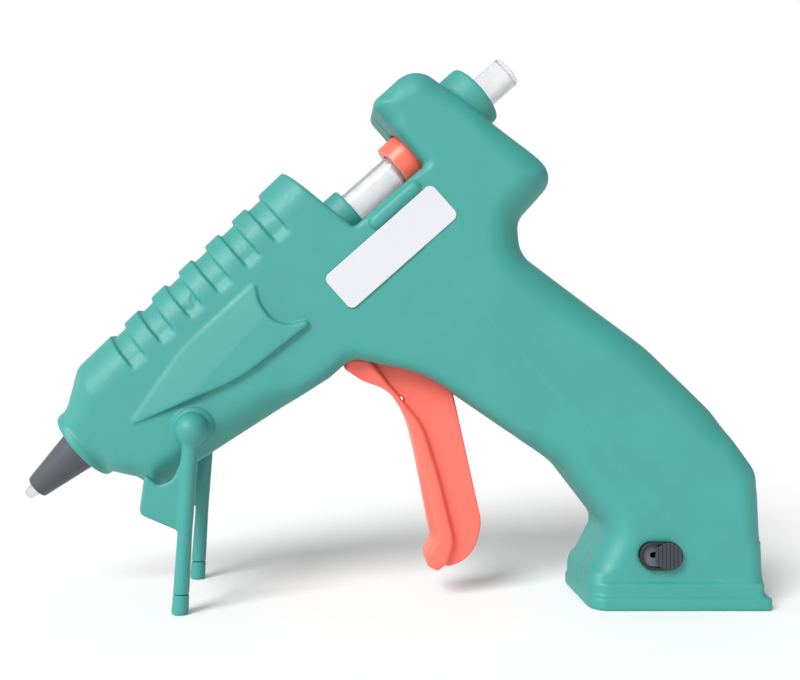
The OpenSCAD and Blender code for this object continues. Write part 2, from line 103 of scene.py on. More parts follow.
def on_barrel(s, n, r=0.0):
    """A corner [x, z, radius] at a place in the barrel's frame."""
    point = AXIS_POINT + s * ALONG + n * ACROSS
    return [point[0], point[2], r]


def rounded(corners, steps=8):
    """A closed outline from corners [x, z, radius], each rounded by an arc."""
    outline = []
    count = len(corners)
    for i, (x, z, radius) in enumerate(corners):
        corner = np.array([x, z])
        if radius == 0:
            outline.append(corner)
            continue
        before = np.array(corners[i - 1][:2]) - corner
        after = np.array(corners[(i + 1) % count][:2]) - corner
        u = before / np.linalg.norm(before)
        v = after / np.linalg.norm(after)
        half = math.acos(np.clip(u @ v, -1, 1)) / 2
        middle = u + v
        centre = corner + middle / np.linalg.norm(middle) * radius / math.sin(half)
        start = corner + u * radius / math.tan(half) - centre
        stop = corner + v * radius / math.tan(half) - centre
        first = math.atan2(start[1], start[0])
        turn = (math.atan2(stop[1], stop[0]) - first + math.pi) % (2 * math.pi) - math.pi
        for k in range(steps + 1):
            angle = first + turn * k / steps
            outline.append(centre + radius * np.array([math.cos(angle), math.sin(angle)]))
    return np.array(outline)


CASING_CORNERS = [
    on_barrel(-117, 12.8, 1), on_barrel(-112.5, 15.2, 4), on_barrel(-103, 21.2, 12),
    on_barrel(-22, 24.2), on_barrel(-6.5, 24.8, 1.5), [-11.6, 125.2, 1.2],
    on_barrel(4, -6.2, 3), on_barrel(30, -6.2, 1), on_barrel(30, 21.2, 3), on_barrel(50.5, 21.6, 9),
    [57.8, 143.5, 7], [44, 128, 7], [45, 117, 10], [87.3, 85.4, 60], [109.1, 64, 30], [BACK_X - 0.5, 44, 9],
    [BACK_X, 12, 6], [FOOT_REAR_X, 4, 2], [FOOT_REAR_X, 0, 0.6],
    [66.2, 0, 0.6], [66.2, 11, 5], [73.6, 25.5, 6], [58, 45.5, 22],
    [12, 77, 40], [-12, 82, 6], [-19.5, 75.4, 1], [-77.8, 38, 2.5], [-84, 42, 3],
    on_barrel(-117, -12.8, 1),
]
LEAF_CORNERS = [
    on_barrel(-101, -6, 1), on_barrel(-62, -18.8, 60), on_barrel(-29, -20.6, 1),
    on_barrel(-42.5, -14.5, 9), on_barrel(-41, -4, 8), on_barrel(-37.6, 2, 1), on_barrel(-70, 1.5, 60),
]
BAND_CORNERS = [
    [-14.4, 82.5, 1.5], [-14.6, 78.2, 2], [-8.2, 74, 12], [0.8, 71, 14], [6.8, 61.5, 30], [16.9, 22, 5],
    [13.2, 15.5, 3], [13.6, 11.5, 1.5], [17, 9.7, 1.2], [20.5, 12.2, 3], [22.9, 20, 6], [17.5, 42, 60],
    [12, 59.5, 20], [0.4, 73.4, 14], [-6, 82, 2],
]
WEB_CORNERS = [
    [6, 68, 1], [17, 12, 1], [21, 10.6, 1], [29.4, 13, 12], [32.6, 25.4, 14], [22.7, 70, 0],
    [20, 82, 4], [-8, 89, 4], [-14, 80, 2],
]
FIN_CORNERS = [
    [-64.8, 54.5, 1], [-70, 43.2, 5], [-74.6, 41.4, 2.5], [-79, 45.3, 0.8], [-80.8, 32.2, 2.5],
    [-68.2, 26.9, 2], [-66, 27.5, 0],
]
PLATE_CORNERS = [[-80.4, 33.2, 0.4], [-78.1, 32.2, 0.4], [-77.7, 37.2, 0.4], [-79.8, 37.4, 0.4]]
SCREW_POINTS = [
    on_barrel(-104, -20), on_barrel(-60, 15.4), [-35, 74], [40, 100],
    on_barrel(44, 14.6), [98, 56], [72.2, 5.4],
]

# How round the casing's long edge is: [x, z, radius] at places round its side view
EDGE_RADII = [
    on_barrel(-112, 0, 7), on_barrel(-60, 0, 9), on_barrel(-4, 0, 2), on_barrel(18, -9, 1.6),
    on_barrel(31, 4, 4), on_barrel(32, 16, 6.5), on_barrel(38, 20, 8), on_barrel(46, 16, 9.5),
    [50, 155, 9.5], [54, 142, 12],
    [45, 122, 13], [62, 104, 13], [88, 84, 12.5], [108, 66, 12], [119, 46, 9], [122, 30, 8],
    [122, 12, 6], [95, 0, 2], [67, 8, 5], [70, 17, 9], [73, 27, 9], [58, 46, 9], [34, 63, 6], [8, 76, 5],
    [-20, 76, 6], [-45, 60, 12], [-70, 44, 11], [-82, 42, 8],
]


# ------------------------------------------------------- signed distances
# A distance is negative inside the shape. All take arrays that broadcast over one grid.


def outline_distance(x, z, outline):
    """Signed distance in the side view to a closed outline."""
    nearest = np.full(np.broadcast(x, z).shape, np.inf, np.float32)
    inside = np.zeros(nearest.shape, bool)
    for start, stop in zip(outline, np.roll(outline, -1, axis=0)):
        edge = stop - start
        if not edge.any():
            continue
        dx = x - start[0]
        dz = z - start[1]
        t = np.clip((dx * edge[0] + dz * edge[1]) / (edge @ edge), 0, 1)
        nearest = np.minimum(nearest, (dx - edge[0] * t) ** 2 + (dz - edge[1] * t) ** 2)
        if edge[1] != 0:
            crossing = start[0] + edge[0] * dz / edge[1]
            inside ^= ((start[1] > z) != (stop[1] > z)) & (x < crossing)
    return np.where(inside, -1, 1).astype(np.float32) * np.sqrt(nearest)


def smooth_union(a, b, blend):
    share = np.clip(0.5 + 0.5 * (b - a) / blend, 0, 1)
    return b + share * (a - b) - blend * share * (1 - share)


def smooth_cut(a, b, blend):
    """What both a and b hold, with the edge where they meet eased."""
    return -smooth_union(-a, -b, blend)


def rounded_pair(p, q, radius):
    """Two faces met by an arc: p and q are the distances to the faces."""
    p = p + radius
    q = q + radius
    return np.minimum(np.maximum(p, q), 0) + np.hypot(np.maximum(p, 0), np.maximum(q, 0)) - radius


def ease(value, low, high):
    """A smooth step from 0 at low to 1 at high."""
    t = np.clip((value - low) / (high - low), 0, 1)
    return t * t * (3 - 2 * t)


def barrel_frame(x, z):
    """The barrel's S and N for points of the side view."""
    dx = x - AXIS_POINT[0]
    dz = z - AXIS_POINT[2]
    return dx * ALONG[0] + dz * ALONG[2], dx * ACROSS[0] + dz * ACROSS[2]


def bar_across(x, z, point, radius):
    """A round bar across the gun, without ends."""
    return np.hypot(x - point[0], z - point[1]) - radius


def link(x, z, start, stop, radius):
    """A bar with round ends in the side view."""
    start = np.array(start[:2])
    edge = np.array(stop[:2]) - start
    dx = x - start[0]
    dz = z - start[1]
    t = np.clip((dx * edge[0] + dz * edge[1]) / (edge @ edge), 0, 1)
    return np.hypot(dx - edge[0] * t, dz - edge[1] * t) - radius


def stadium(x, z, length, height):
    """The switch's opening: a long hole with round ends."""
    reach = (length - height) / 2
    return link(x, z, [SWITCH_X - reach, SWITCH_Z], [SWITCH_X + reach, SWITCH_Z], height / 2)


def edge_radius(x, z):
    """The casing's edge radius, eased between the named places."""
    total = np.zeros(np.broadcast(x, z).shape, np.float32)
    weights = np.zeros_like(total)
    for px, pz, radius in EDGE_RADII:
        weight = 1 / ((x - px) ** 2 + (z - pz) ** 2 + 9) ** 2
        total += weight * radius
        weights += weight
    return total / weights


# ------------------------------------------------------------------ meshes


class Grid:
    """A block of evenly spaced points, as three arrays that broadcast together."""

    def __init__(self, low, high, step):
        self.step = step
        self.low = np.array(low, float) - 2 * step
        counts = np.ceil((np.array(high) + 2 * step - self.low) / step).astype(int) + 1
        lines = [self.low[a] + step * np.arange(counts[a]) for a in range(3)]
        self.x = lines[0].astype(np.float32)[:, None, None]
        self.y = lines[1].astype(np.float32)[None, :, None]
        self.z = lines[2].astype(np.float32)[None, None, :]


def surface_of(field, grid):
    """The closed surface where a field changes sign, as points and four-sided faces."""
    inside = field < 0
    corners = sum(
        inside[a:a - 1 or None, b:b - 1 or None, c:c - 1 or None].astype(np.uint8)
        for a in (0, 1) for b in (0, 1) for c in (0, 1)
    )
    active = (corners > 0) & (corners < 8)
    cells = np.argwhere(active)
    number = np.full(active.shape, -1, np.int64)
    number[active] = np.arange(len(cells))

    total = np.zeros((len(cells), 3))
    found = np.zeros(len(cells))
    for axis in range(3):
        ahead = np.eye(3, dtype=int)[axis]
        sides = [np.eye(3, dtype=int)[a] for a in range(3) if a != axis]
        for first in (0, 1):
            for second in (0, 1):
                offset = first * sides[0] + second * sides[1]
                a = field[tuple((cells + offset).T)]
                b = field[tuple((cells + offset + ahead).T)]
                crossed = (a < 0) != (b < 0)
                share = a[crossed] / (a[crossed] - b[crossed])
                total[crossed] += offset + share[:, None] * ahead
                found[crossed] += 1
    points = grid.low + grid.step * (cells + total / found[:, None])

    faces = []
    for axis in range(3):
        ahead = np.eye(3, dtype=int)[axis]
        u = np.eye(3, dtype=int)[(axis + 1) % 3]
        v = np.eye(3, dtype=int)[(axis + 2) % 3]
        one = tuple(slice(0, -1) if a == axis else slice(1, -1) for a in range(3))
        two = tuple(slice(1, None) if a == axis else slice(1, -1) for a in range(3))
        edges = np.argwhere(inside[one] != inside[two]) + u + v
        out = inside[tuple(edges.T)]
        loop = [number[tuple((edges - step).T)] for step in (0 * u, u, u + v, v)]
        quads = np.stack(loop, axis=1)
        faces.append(quads[out])
        faces.append(quads[~out][:, ::-1])
    return points, np.concatenate(faces)


def relaxed(points, faces, passes):
    """The points moved part of the way to their neighbours' middle, to even out the grid."""
    pairs = np.concatenate([faces[:, [a, (a + 1) % 4]] for a in range(4)])
    count = np.bincount(pairs[:, 0], minlength=len(points))[:, None]
    for _ in range(passes):
        middle = np.stack(
            [np.bincount(pairs[:, 0], points[pairs[:, 1], a], len(points)) for a in range(3)], axis=1
        ) / count
        points = 0.5 * points + 0.5 * middle
    return points


def mesh_object(name, points, faces, material, body, slot, *nodes):
    """A smooth-shaded piece that rides on a body and stands for CAD nodes."""
    mesh = bpy.data.meshes.new(name)
    mesh.vertices.add(len(points))
    mesh.vertices.foreach_set("co", (np.asarray(points) * MM).astype(np.float32).ravel())
    mesh.loops.add(faces.size)
    mesh.loops.foreach_set("vertex_index", faces.astype(np.int32).ravel())
    mesh.polygons.add(len(faces))
    mesh.polygons.foreach_set("loop_start", np.arange(len(faces), dtype=np.int32) * faces.shape[1])
    mesh.update(calc_edges=True)
    mesh.validate()
    mesh.shade_smooth()
    piece = bpy.data.objects.new(name, mesh)
    bpy.context.scene.collection.objects.link(piece)
    mesh.materials.append(material)
    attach(piece, body)
    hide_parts(*nodes)
    return piece


def thin_out(piece, faces_kept):
    """Merges faces where the surface is nearly flat, down to about this many triangles."""
    triangles = 2 * len(piece.data.polygons)
    if triangles <= faces_kept:
        return
    modifier = piece.modifiers.new("thin", "DECIMATE")
    modifier.ratio = faces_kept / triangles
    evaluated = piece.evaluated_get(bpy.context.evaluated_depsgraph_get())
    mesh = bpy.data.meshes.new_from_object(evaluated)
    piece.modifiers.remove(modifier)
    piece.data = mesh
    mesh.shade_smooth()


def turned_point(s, radius, angle):
    """The point at a station, radius and angle about the barrel's axis."""
    spoke = math.cos(angle) * ACROSS + math.sin(angle) * np.array([0.0, 1.0, 0.0])
    return AXIS_POINT + s * ALONG + radius * spoke


def turned(name, profile, material, body, slot, *nodes, turns=96):
    """A piece turned about the barrel's axis from points (s, radius) that begin and end on it."""
    angles = 2 * math.pi * np.arange(turns) / turns
    inner = profile[1:-1]
    points = [AXIS_POINT + profile[0][0] * ALONG, AXIS_POINT + profile[-1][0] * ALONG]
    for s, radius in inner:
        for angle in angles:
            points.append(turned_point(s, radius, angle))
    mesh = bmesh.new()
    verts = [mesh.verts.new(p * MM) for p in points]
    for k in range(turns):
        after = (k + 1) % turns
        mesh.faces.new((verts[0], verts[2 + k], verts[2 + after]))
        last = 2 + (len(inner) - 1) * turns
        mesh.faces.new((verts[1], verts[last + after], verts[last + k]))
        for row in range(len(inner) - 1):
            a = 2 + row * turns
            b = a + turns
            mesh.faces.new((verts[a + k], verts[b + k], verts[b + after], verts[a + after]))
    bmesh.ops.recalc_face_normals(mesh, faces=mesh.faces)
    data = bpy.data.meshes.new(name)
    mesh.to_mesh(data)
    mesh.free()
    data.shade_smooth()
    piece = bpy.data.objects.new(name, data)
    bpy.context.scene.collection.objects.link(piece)
    data.materials.append(material)
    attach(piece, body)
    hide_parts(*nodes)
    return piece


def rounded_profile(points, radii, steps=5):
    """A turned profile whose corners are rounded, from points (s, radius) and a radius for each."""
    corners = [[s, r, radius] for (s, r), radius in zip(points, radii)]
    closed = corners + [[points[-1][0], -50.0, 0.0], [points[0][0], -50.0, 0.0]]
    return [tuple(p) for p in rounded(closed, steps)[:-2]]


# --------------------------------------------------------------- materials


def shader(name, **values):
    """A material with its Principled node's plain values set."""
    material = bpy.data.materials.new(name)
    material.use_nodes = True
    node = material.node_tree.nodes["Principled BSDF"]
    for socket, value in values.items():
        node.inputs[socket.replace("_", " ")].default_value = value
    return material, node


def noise(material, scale, detail=4.0, stretch=(1, 1, 1)):
    """A noise texture in the piece's own coordinates, in metres."""
    nodes = material.node_tree.nodes
    links = material.node_tree.links
    place = nodes.new("ShaderNodeTexCoord")
    mapping = nodes.new("ShaderNodeMapping")
    mapping.inputs["Scale"].default_value = stretch
    texture = nodes.new("ShaderNodeTexNoise")
    texture.inputs["Scale"].default_value = scale
    texture.inputs["Detail"].default_value = detail
    links.new(place.outputs["Object"], mapping.inputs["Vector"])
    links.new(mapping.outputs["Vector"], texture.inputs["Vector"])
    return texture.outputs["Fac"]


def ramp(material, factor, stops):
    """Colours spread over a factor, from stops (position, colour)."""
    node = material.node_tree.nodes.new("ShaderNodeValToRGB")
    while len(node.color_ramp.elements) < len(stops):
        node.color_ramp.elements.new(0.5)
    for element, (position, colour) in zip(node.color_ramp.elements, stops):
        element.position = position
        element.color = (*colour, 1)
    material.node_tree.links.new(factor, node.inputs["Fac"])
    return node.outputs["Color"]


def add_bump(material, node, height, strength, distance):
    bump = material.node_tree.nodes.new("ShaderNodeBump")
    bump.inputs["Strength"].default_value = strength
    bump.inputs["Distance"].default_value = distance
    links = material.node_tree.links
    links.new(height, bump.inputs["Height"])
    links.new(bump.outputs["Normal"], node.inputs["Normal"])


def moulded(name, colour, roughness, grain=0.35, spread=0.03, **values):
    """Moulded plastic: a spark-eroded grain, slightly cloudy colour and uneven gloss."""
    material, node = shader(name, **values)
    links = material.node_tree.links
    cloud = noise(material, 60)
    dark = [c * (1 - spread) for c in colour]
    light = [min(1, c * (1 + spread)) for c in colour]
    links.new(ramp(material, cloud, [(0.3, dark), (0.7, light)]), node.inputs["Base Color"])
    smooth = [roughness * 0.9] * 3
    rough = [roughness * 1.12] * 3
    gloss = ramp(material, noise(material, 900, 2), [(0.3, smooth), (0.7, rough)])
    links.new(gloss, node.inputs["Roughness"])
    add_bump(material, node, noise(material, 2200, 3), grain, 0.00006)
    return material


TEAL = (0.037, 0.27, 0.24)
CORAL = (0.95, 0.14, 0.10)
casing_material = moulded("casing_plastic", TEAL, 0.5)
stand_material = moulded("stand_plastic", TEAL, 0.48)
trigger_material = moulded("trigger_plastic", CORAL, 0.4, grain=0.15)
carriage_material = moulded("carriage_plastic", (0.95, 0.14, 0.085), 0.3, grain=0.08)
dark_material = moulded("dark_plastic", (0.03, 0.032, 0.045), 0.38, grain=0.2)
black_material = moulded("switch_black", (0.008, 0.011, 0.014), 0.45, grain=0.2)
sill_material = moulded("switch_grey", (0.12, 0.12, 0.15), 0.5, grain=0.2)
nozzle_material = moulded("nozzle_rubber", (0.062, 0.062, 0.08), 0.5, grain=0.25)
label_material = moulded("label_film", (0.56, 0.57, 0.6), 0.35, grain=0.05, spread=0.01)
silicone_material = moulded("silicone_rubber", (0.55, 0.08, 0.04), 0.45, grain=0.1)
board_material = moulded("bracket_board", (0.6, 0.55, 0.45), 0.8, grain=0.5)
wrap_material = moulded("heater_wrap", (0.45, 0.25, 0.1), 0.4, grain=0.1)
live_material = moulded("live_lead", (0.2, 0.08, 0.04), 0.4, grain=0.1)
neutral_material = moulded("neutral_lead", (0.05, 0.12, 0.35), 0.4, grain=0.1)


def metal(name, colour, roughness, scale=400, stretch=(1, 1, 1)):
    """Worked metal: fine machining marks in its gloss and surface."""
    material, node = shader(name, Metallic=1.0)
    links = material.node_tree.links
    marks = noise(material, scale, 6, stretch)
    dark = [c * 0.85 for c in colour]
    links.new(ramp(material, marks, [(0.3, dark), (0.7, colour)]), node.inputs["Base Color"])
    gloss = ramp(material, marks, [(0.2, [roughness * 0.7] * 3), (0.8, [roughness * 1.4] * 3)])
    links.new(gloss, node.inputs["Roughness"])
    add_bump(material, node, marks, 0.1, 0.00004)
    return material


steel_material = metal("plated_steel", (0.62, 0.62, 0.64), 0.28)
tip_material = metal("turned_tip", (0.75, 0.75, 0.76), 0.22)
cast_material = metal("cast_chamber", (0.5, 0.51, 0.52), 0.45, scale=900)
brass_material = metal("brass_contact", (0.78, 0.6, 0.3), 0.3)


def glue_material():
    """Clear hot-melt glue, milky inside with faint flow lines along the stick."""
    material, node = shader(
        "hot_melt_glue", Roughness=0.14, IOR=1.47, Transmission_Weight=0.75,
        Subsurface_Weight=0.15, Subsurface_Scale=0.004
    )
    flow = noise(material, 140, 3)
    milk = ramp(material, flow, [(0.35, (0.80, 0.80, 0.84)), (0.65, (0.93, 0.93, 0.94))])
    material.node_tree.links.new(milk, node.inputs["Base Color"])
    add_bump(material, node, noise(material, 500, 2), 0.02, 0.00005)
    return material


clear_material = glue_material()


# ------------------------------------------------------------------ casing


def casing_skin(grid):
    """The outside of the casing, before slots and openings, on the near side of the middle."""
    x, y, z = grid.x, np.abs(grid.y), grid.z
    s, n = barrel_frame(x, z)
    side = outline_distance(x, z, rounded(CASING_CORNERS))
    grip = ease(x, 30, 60) * ease(z, 20, 45) * (1 - ease(z, 95, 125))
    half_w = np.interp(s, [-117, -112.5, -103, -95], [12.8, 15.2, 17.4, BODY_HALF_W])
    flare = np.where(x > 45, np.interp(z, [7, 16, 42], [0.5, 0.4, 0]), 0)
    half_w = (half_w - 0.6 * grip + flare).astype(np.float32)
    skin = rounded_pair(side, y - half_w, edge_radius(x, z))

    top_n = np.interp(s, [-117, -112.5, -103, -22, -6.5], [12.8, 15.2, 21.2, 24.2, 24.8])
    crown_r = np.interp(s, [-117, -100], [12.6, 15.0]).astype(np.float32)
    crown = rounded_pair(n - top_n.astype(np.float32), y - half_w, crown_r)
    skin = smooth_cut(skin, np.where(s < 12, crown, -50), 1.0)

    front_r = np.interp(s, [-117, -113, -108, -103, -95], [13, 15.4, 18.6, 22, 29]).astype(np.float32)
    front = 0.85 * (np.hypot(np.maximum(n, 0), y) - front_r)
    return smooth_cut(skin, front, 2.5), s, n


def casing_raised(skin, s, n, grid):
    """The skin with the nose lip, leaf, collars, bead, bosses and foot flange added."""
    x, y, z = grid.x, np.abs(grid.y), grid.z
    radial = np.hypot(n, y)
    lip = rounded_pair(radial - NOSE_R, np.abs(s - NOSE_S - 1.3) - 1.3, 0.9)
    neck = np.maximum(radial - 12.5, np.abs(s - NOSE_S - 3.6) - 2.6)
    raised = smooth_union(skin, smooth_union(lip, neck, 1.2), 2.6)

    leaf_top = BODY_HALF_W + np.clip(0.14 * (np.interp(s, [-101, -80, -40], [-5, 0.5, 4.5]) - n), -1.5, 1.8)
    leaf_side = outline_distance(x, z, rounded(LEAF_CORNERS))
    leaf = smooth_cut(leaf_side, y - leaf_top.astype(np.float32), 0.7)
    raised = smooth_union(raised, leaf, 0.5)

    guide = rounded_pair(radial - GUIDE_OUTER_R, np.abs(s + 4.3) - 7.7, 0.5)
    collar = rounded_pair(np.hypot(n - COLLAR_LIFT, y) - COLLAR_R, np.abs(s - 56) - 6, 1.2)
    raised = smooth_union(raised, guide, 0.6)
    raised = smooth_union(raised, collar, 1.2)

    bead_side = link(x, z, on_barrel(4.8, -9.6), on_barrel(21.8, -9.6), 2.3)
    bead = rounded_pair(bead_side, y - BODY_HALF_W - 1.4, 1.8)
    bead = np.maximum(bead, 12.5 - y)
    raised = smooth_union(raised, bead, 0.4)

    boss_side = bar_across(x, z, STAND_PIVOT[[0, 2]], 6.8)
    boss = rounded_pair(boss_side, y - BODY_HALF_W - 1.0, 0.8)
    stem_side = bar_across(x, z, STAND_PIVOT[[0, 2]], STAND_STEM_R)
    boss = np.minimum(boss, rounded_pair(stem_side, y - 19.4, 0.3))
    raised = smooth_union(raised, boss, 0.6)

    plan_x = np.abs(x - (FOOT_REAR_X + FOOT_FRONT_X) / 2) - (FOOT_REAR_X - FOOT_FRONT_X) / 2
    plan_r = np.where(x < 95, 5.5, 2.0).astype(np.float32)
    band = rounded_pair(rounded_pair(plan_x, y - FOOT_HALF_W, plan_r), np.abs(z - 2.2) - 2.2, 1.0)
    ridge_x = plan_x + np.where(x < 95, 0.6, 2.0).astype(np.float32)
    ridge = rounded_pair(rounded_pair(ridge_x, y - RIDGE_HALF_W, plan_r), np.abs(z - 4.4) - 4.4, 0.8)
    return smooth_union(smooth_union(raised, ridge, 1.2), band, 1.0)


def casing_slots(skin, s, n):
    """Grip slots over the barrel, which run out where they end low on its side."""
    depth = SLOT_DEPTH * np.clip((n - SLOT_FOOT_N) / SLOT_RAMP, 0.15, 1)
    nearest = np.full_like(s, np.inf)
    for k in range(SLOT_COUNT):
        nearest = np.minimum(nearest, np.abs(s - SLOT_FIRST_S + SLOT_PITCH * k) - SLOT_HALF)
    mouth = rounded_pair(nearest, SLOT_FOOT_N - n, 1.6)
    return smooth_cut(mouth, -(skin + depth), 0.2)


def casing_inner(skin, s, n, grid):
    """Screw bosses, guides and bracket walls inside the shell."""
    x, y, z = grid.x, np.abs(grid.y), grid.z
    radial = np.hypot(n, y)
    inner = np.maximum(radial - GUIDE_OUTER_R, np.abs(s + 5.5) - 6.5)
    inner = np.minimum(inner, np.maximum(np.hypot(n - COLLAR_LIFT, y) - COLLAR_R, np.abs(s - 55) - 7))
    for point in SCREW_POINTS:
        inner = np.minimum(inner, bar_across(x, z, point, 4.3) + 0 * y)
    for station in (-97.6, -59.6):
        wall = np.maximum(np.abs(s - station - 0.8) - 0.8, np.abs(n - 4) - 16)
        inner = np.minimum(inner, wall + 0 * y)
    pivot = np.maximum(bar_across(x, z, PIVOT[[0, 2]], 4.4), 12.4 - y)
    stand = np.maximum(bar_across(x, z, STAND_PIVOT[[0, 2]], STAND_STEM_R), 13 - y)
    inner = np.minimum(inner, np.minimum(pivot, stand))
    return np.maximum(inner, skin + WALL / 2)


def casing_openings(s, n, grid):
    """Everything that is open in both halves."""
    x, y, z = grid.x, np.abs(grid.y), grid.z
    radial = np.hypot(n, y)

    def bore(low, high, radius):
        return np.maximum(radial - radius, np.maximum(low - s, s - high))

    opening = bore(NOSE_S - 3, NOSE_S + 2, 7.65)
    for low, high, radius in [
        (NOSE_S + 1.5, -113.5, 9.6), (-101, -50, 10.6), (-20, 6, GUIDE_R), (27, 36, 9.7), (46, 66, GUIDE_R),
    ]:
        opening = np.minimum(opening, bore(low, high, radius))
    floor_gap = np.maximum(np.abs(s - 24.8) - 6.3, np.abs(n + 4.85) - 4.85)
    opening = np.minimum(opening, np.maximum(floor_gap, y - 7.4))
    web = rounded([[-19, 72, 0], [44, 46, 0], [37, 74, 0], [-16, 90, 0]])
    band = rounded([[-20, 72, 0], [4, 70, 0], [2, 84, 0], [-17, 90, 0]])
    opening = np.minimum(opening, np.maximum(outline_distance(x, z, web), y - 4.9))
    opening = np.minimum(opening, np.maximum(outline_distance(x, z, band), y - 8.9))
    inlet = np.maximum(np.abs(z - 15) - 5.6, FOOT_REAR_X - 6 - x)
    opening = np.minimum(opening, np.maximum(inlet, y - 10.1))
    stub = np.maximum(bar_across(x, z, STAND_PIVOT[[0, 2]], 2.58), 14 - y)
    pin = np.maximum(bar_across(x, z, PIVOT[[0, 2]], 2.0), y - 15)
    return np.minimum(opening, np.minimum(stub, pin))


def make_casing():
    """Both halves of the casing, each a hollow shell with its own holes."""
    step = 0.5
    grid = Grid((-126, -22, -1), (126, 0, 186), step)
    x, y, z = grid.x, grid.y, grid.z
    skin, s, n = casing_skin(grid)
    outside = casing_raised(skin, s, n, grid)
    outside = smooth_cut(outside, -casing_slots(skin, s, n), 0.3)
    shell = np.maximum(outside, -(skin + WALL + 0.8 * ease(n, 0, 4)))
    shell = np.minimum(shell, casing_inner(skin, s, n, grid))
    shell = np.maximum(shell, -casing_openings(s, n, grid))
    shell = np.maximum(shell, y + PARTING_GAP / 2)

    switch_hole = np.maximum(stadium(x, z, 13.2, 8.4), y + 10)
    near = np.maximum(shell, -switch_hole)
    far = shell
    for point in SCREW_POINTS:
        head = np.maximum(bar_across(x, z, point, 3.3), y + 12.4)
        shank = bar_across(x, z, point, 1.7)
        far = np.maximum(far, -np.minimum(head, shank + 0 * y))
        near = np.maximum(near, -np.maximum(bar_across(x, z, point, 1.5), -y - 10.5))

    for name, field, node, mirror in [
        ("casing_near_half", near, "left_casing", 1), ("casing_far_half", far, "right_casing", -1)
    ]:
        points, faces = surface_of(field, grid)
        points = relaxed(points, faces, 2)
        if mirror < 0:
            points[:, 1] *= -1
            faces = faces[:, ::-1]
        piece = mesh_object(name, points, faces, casing_material, "casing", "casing", node)
        thin_out(piece, 190_000)


make_casing()


# ----------------------------------------------------------------- trigger


def make_trigger():
    """The trigger: a wide rounded finger band on a thinner web, with its hub and two drive arms."""
    grid = Grid((-31, -12, 6), (37, 12, 108), 0.32)
    x, y, z = grid.x, np.abs(grid.y), grid.z
    s, n = barrel_frame(x, z)
    pivot = PIVOT[[0, 2]]
    drive = pivot + 17 * ACROSS[[0, 2]]
    band_side = outline_distance(x, z, rounded(BAND_CORNERS))
    band = rounded_pair(band_side, y - 8.0, 1.8)
    web = rounded_pair(outline_distance(x, z, rounded(WEB_CORNERS)), y - 4.0, 0.7)
    trigger = smooth_union(band, web, 0.5)
    hub = rounded_pair(bar_across(x, z, pivot, 4.1), y - 8.0, 0.3)
    hub_end = rounded_pair(bar_across(x, z, pivot, 3.4), y - 11.9, 0.3)
    arms = rounded_pair(link(x, z, pivot, drive, 3.6), np.abs(y - 6.1) - 1.5, 0.4)
    tab = np.maximum(np.abs(s + 26.25) - 2.25, np.abs(n + 28) - 4)
    tab = rounded_pair(tab, y - 5.6, 0.4)
    for part in (hub, hub_end, arms, tab):
        trigger = np.minimum(trigger, part)
    trigger = np.maximum(trigger, -(bar_across(x, z, pivot, 2.08) + 0 * y))
    trigger = np.maximum(trigger, -(bar_across(x, z, drive, 2.0) + 0 * y))
    points, faces = surface_of(trigger, grid)
    mesh_object("trigger_moulding", relaxed(points, faces, 2), faces, trigger_material,
                "trigger", "trigger_plastic", "trigger")


make_trigger()


# ------------------------------------------------------------------- stand

LEG_Y = 22.8
LEG_LEAN = 3.65
TIP_H = 6.4


def leg_distance(x, y, z):
    """One tapering leg from its ball to the table."""
    lean = LEG_LEAN * (STAND_PIVOT[2] - z) / STAND_PIVOT[2]
    radius = np.interp(z, [0, 8, 25, 48], [2.85, 2.6, 2.4, 2.75]).astype(np.float32)
    return np.hypot(x - STAND_PIVOT[0] + lean, y - LEG_Y) - radius


def make_stand():
    """The folding stand: two balls on pivot stubs, two legs, fins and the plate that joins them."""
    grid = Grid((-83, -28.4, 0), (-57, 28.4, 66), 0.4)
    x, y, z = grid.x, np.abs(grid.y), grid.z
    px, pz = STAND_PIVOT[0], STAND_PIVOT[2]
    ball = np.sqrt((x - px) ** 2 + (y - 21.8) ** 2 + (z - pz) ** 2) - 5.6
    ball = smooth_cut(ball, 19.7 - y, 0.4)
    leg = np.maximum(leg_distance(x, y, z), z - pz)
    leg = smooth_cut(leg, TIP_H + 0.05 - z, 0.2)
    stand = smooth_union(ball, leg, 1.6)
    fin = rounded_pair(outline_distance(x, z, rounded(FIN_CORNERS)), np.abs(y - LEG_Y) - 1.6, 0.8)
    stand = smooth_union(stand, fin, 1.0)
    plate = outline_distance(x, z, rounded(PLATE_CORNERS))
    stand = smooth_union(stand, np.maximum(plate, y - LEG_Y), 0.8)
    stub = np.maximum(bar_across(x, z, (px, pz), 2.5), np.maximum(15 - y, y - 21.8))
    stand = np.minimum(stand, stub)
    points, faces = surface_of(stand, grid)
    mesh_object("stand_frame", relaxed(points, faces, 2), faces, stand_material,
                "stand", "stand_plastic", "stand_bail")


def make_feet():
    """The foot of each leg, with a flat sole and a fine joint line above it."""
    grid = Grid((-76, -27, 0), (-65, 27, 8), 0.3)
    x, y, z = grid.x, np.abs(grid.y), grid.z
    foot = leg_distance(x, y, z) + 0.05
    foot = smooth_cut(foot, z - TIP_H + 0.05, 0.2)
    foot = smooth_cut(foot, 0.02 - z, 0.6)
    points, faces = surface_of(foot, grid)
    mesh_object("stand_soles", relaxed(points, faces, 2), faces, stand_material,
                "stand", "stand_plastic", "stand_feet")


make_stand()
make_feet()


# -------------------------------------------------- nozzle, stick and label


